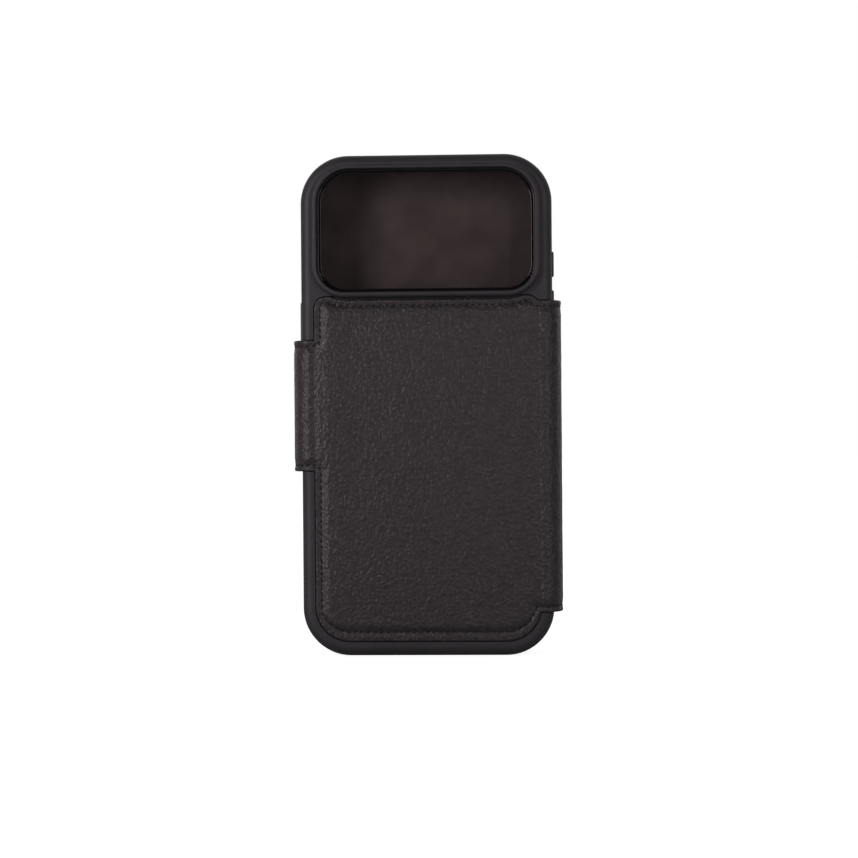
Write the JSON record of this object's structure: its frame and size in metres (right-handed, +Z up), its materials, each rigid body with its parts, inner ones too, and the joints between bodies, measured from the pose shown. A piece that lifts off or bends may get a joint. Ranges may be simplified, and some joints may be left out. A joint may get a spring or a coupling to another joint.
{
  "type": "phone wallet case",
  "caption": "Black folio phone case: moulded tray with a raised camera guard, pebbled leather back, spine, card-pocket cover and magnetic side latch.",
  "frame": {"origin": "middle of the tray's bottom edge, where the case rests when it stands on end", "axes": "+Z up along the phone's length, +X to the right seen from the back of the case, +Y from the back towards the front cover"},
  "size_m": [0.0838, 0.0231, 0.1553],
  "materials": {
    "shell": "matte moulded elastomer, faint satin on the edges",
    "leather": "pebbled full-grain, low sheen",
    "pocket_leather": "smooth, thin, low sheen",
    "microfibre": "short-nap microfibre",
    "thread": "waxed thread, satin",
    "board": "dense fibre board, hidden",
    "steel": "thin sheet, hidden",
    "magnet": "plated, hidden"
  },
  "bodies": {
    "tray": {"bumper_shell": "shell", "back_board": "board", "back_leather": "leather", "back_seam": "thread", "tray_lining": "microfibre"},
    "action_button": {"action_button": "shell"},
    "volume_up": {"volume_up_button": "shell"},
    "volume_down": {"volume_down_button": "shell"},
    "side_button": {"side_button": "shell"},
    "spine": {"spine_leather": "leather", "spine_lining": "microfibre", "spine_seam": "thread"},
    "cover": {"cover_leather": "leather", "cover_board": "board", "closure_plate": "steel", "cover_lining": "microfibre", "cover_seam": "thread", "note_pocket": "pocket_leather", "card_pocket_1": "pocket_leather", "card_pocket_2": "pocket_leather", "card_pocket_3": "pocket_leather", "pocket_seam": "thread"},
    "latch_side": {"latch_side_leather": "leather", "latch_side_lining": "microfibre", "latch_side_seam": "thread"},
    "latch_end": {"latch_end_leather": "leather", "latch_end_lining": "microfibre", "latch_end_seam": "thread", "latch_magnet": "magnet"}
  },
  "joints": [
    {"name": "spine_fold", "type": "hinge", "parent": "tray", "child": "spine", "pos_m": [0.03998, -0.00533, 0.0616], "axis": [0, 0, -1], "range_deg": [0, 180]},
    {"name": "cover_fold", "type": "hinge", "parent": "spine", "child": "cover", "pos_m": [0.03998, 0.00958, 0.0616], "axis": [0, 0, -1], "range_deg": [0, 180]},
    {"name": "latch_fold", "type": "hinge", "parent": "tray", "child": "latch_side", "pos_m": [-0.03998, -0.00533, 0.07765], "axis": [0, 0, 1], "range_deg": [0, 90]},
    {"name": "latch_end_fold", "type": "hinge", "parent": "latch_side", "child": "latch_end", "pos_m": [-0.04051, 0.01226, 0.07765], "axis": [0, 0, 1], "range_deg": [0, 90]},
    {"name": "action_press", "type": "slide", "parent": "tray", "child": "action_button", "axis": [-1, 0, 0], "range_m": [0, 0.0004], "stiffness_N_per_m": 1200},
    {"name": "volume_up_press", "type": "slide", "parent": "tray", "child": "volume_up", "axis": [-1, 0, 0], "range_m": [0, 0.0004], "stiffness_N_per_m": 1200},
    {"name": "volume_down_press", "type": "slide", "parent": "tray", "child": "volume_down", "axis": [-1, 0, 0], "range_m": [0, 0.0004], "stiffness_N_per_m": 1200},
    {"name": "side_press", "type": "slide", "parent": "tray", "child": "side_button", "axis": [1, 0, 0], "range_m": [0, 0.0004], "stiffness_N_per_m": 1200}
  ]
}
